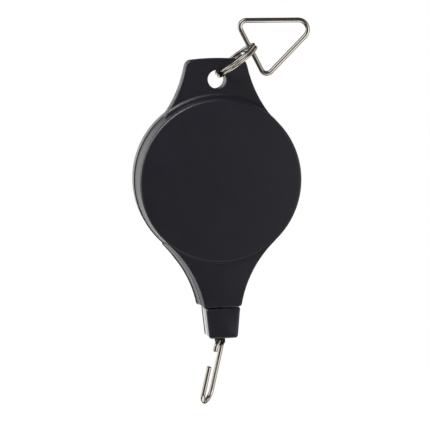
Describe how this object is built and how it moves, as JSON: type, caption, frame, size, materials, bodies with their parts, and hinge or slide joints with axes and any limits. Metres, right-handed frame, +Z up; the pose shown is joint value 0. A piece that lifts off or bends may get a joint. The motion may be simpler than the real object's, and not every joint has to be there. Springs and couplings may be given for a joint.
{
  "type": "retractable hanging pulley",
  "caption": "Round spring-reel pulley that hangs from a wire triangle on a split ring and pays out a cord with a wire hook at its end.",
  "frame": {"origin": "centre of the case's back face, on the reel's axis", "axes": "+X to the right seen from the front, +Y out of the back of the case, +Z up to the hanging tab"},
  "size_m": [0.0893, 0.025, 0.1917],
  "materials": {
    "black_plastic": "fine matte texture",
    "gloss_black_plastic": "smooth semi-gloss",
    "white_nylon": "moulded nylon",
    "bright_nickel": "bright nickel plate",
    "zinc_steel": "zinc plated",
    "spring_steel": "oiled strip and wire",
    "brass_part": "turned",
    "black_cord": "braided cord"
  },
  "bodies": {
    "case": {"front_shell": "black_plastic", "rear_shell": "black_plastic", "case_screws": "zinc_steel", "axle": "zinc_steel", "thrust_washers": "white_nylon", "exit_eyelet": "brass_part", "pawl_pin": "zinc_steel", "pawl_spring": "spring_steel", "cord_inner": "black_cord"},
    "pawl": {"pawl": "zinc_steel"},
    "reel": {"reel": "white_nylon", "ratchet_ring": "zinc_steel", "reel_bush": "brass_part", "spring_cover": "white_nylon", "mainspring": "spring_steel", "cord_wound": "black_cord"},
    "block": {"block_front": "gloss_black_plastic", "block_rear": "gloss_black_plastic", "block_screws": "zinc_steel", "cord_run": "black_cord"},
    "swivel": {"cord_ferrule": "brass_part", "cord_loop": "black_cord"},
    "hook": {"hook": "bright_nickel"},
    "ring": {"split_ring": "bright_nickel"},
    "hanger": {"hanger": "bright_nickel"}
  },
  "joints": [
    {"name": "cord_pull", "type": "slide", "parent": "case", "child": "block", "axis": [0, 0, -1], "range_m": [0, 0.9], "stiffness_N_per_m": 4, "springref_m": -1, "deforming": ["cord_run"]},
    {"name": "reel_spin", "type": "hinge", "parent": "case", "child": "reel", "pos_m": [0, -0.0125, 0], "axis": [0, 1, 0], "range_deg": [0, 1620]},
    {"name": "pawl_swing", "type": "hinge", "parent": "case", "child": "pawl", "pos_m": [0.002, -0.02, -0.0455], "axis": [0, 1, 0], "range_deg": [0, 14]},
    {"name": "loop_swivel", "type": "hinge", "parent": "block", "child": "swivel", "pos_m": [0, -0.0125, -0.0774], "axis": [0, 0, 1], "range_deg": [-180, 180]},
    {"name": "hook_swing", "type": "hinge", "parent": "swivel", "child": "hook", "pos_m": [0, -0.0125, -0.0805], "axis": [-0.5299, -0.848, 0], "range_deg": [-60, 45]},
    {"name": "ring_swing", "type": "hinge", "parent": "case", "child": "ring", "pos_m": [0.0012, -0.0125, 0.0513], "axis": [0, 1, 0], "range_deg": [-100, 12]},
    {"name": "hanger_turn", "type": "hinge", "parent": "ring", "child": "hanger", "pos_m": [0.01685, -0.0125, 0.0656], "axis": [0.4523, 0, -0.8919], "range_deg": [-90, 90]}
  ],
  "couplings": [
    {"joint": "reel_spin", "follows": "cord_pull", "rad_per_m": 31.416}
  ]
}
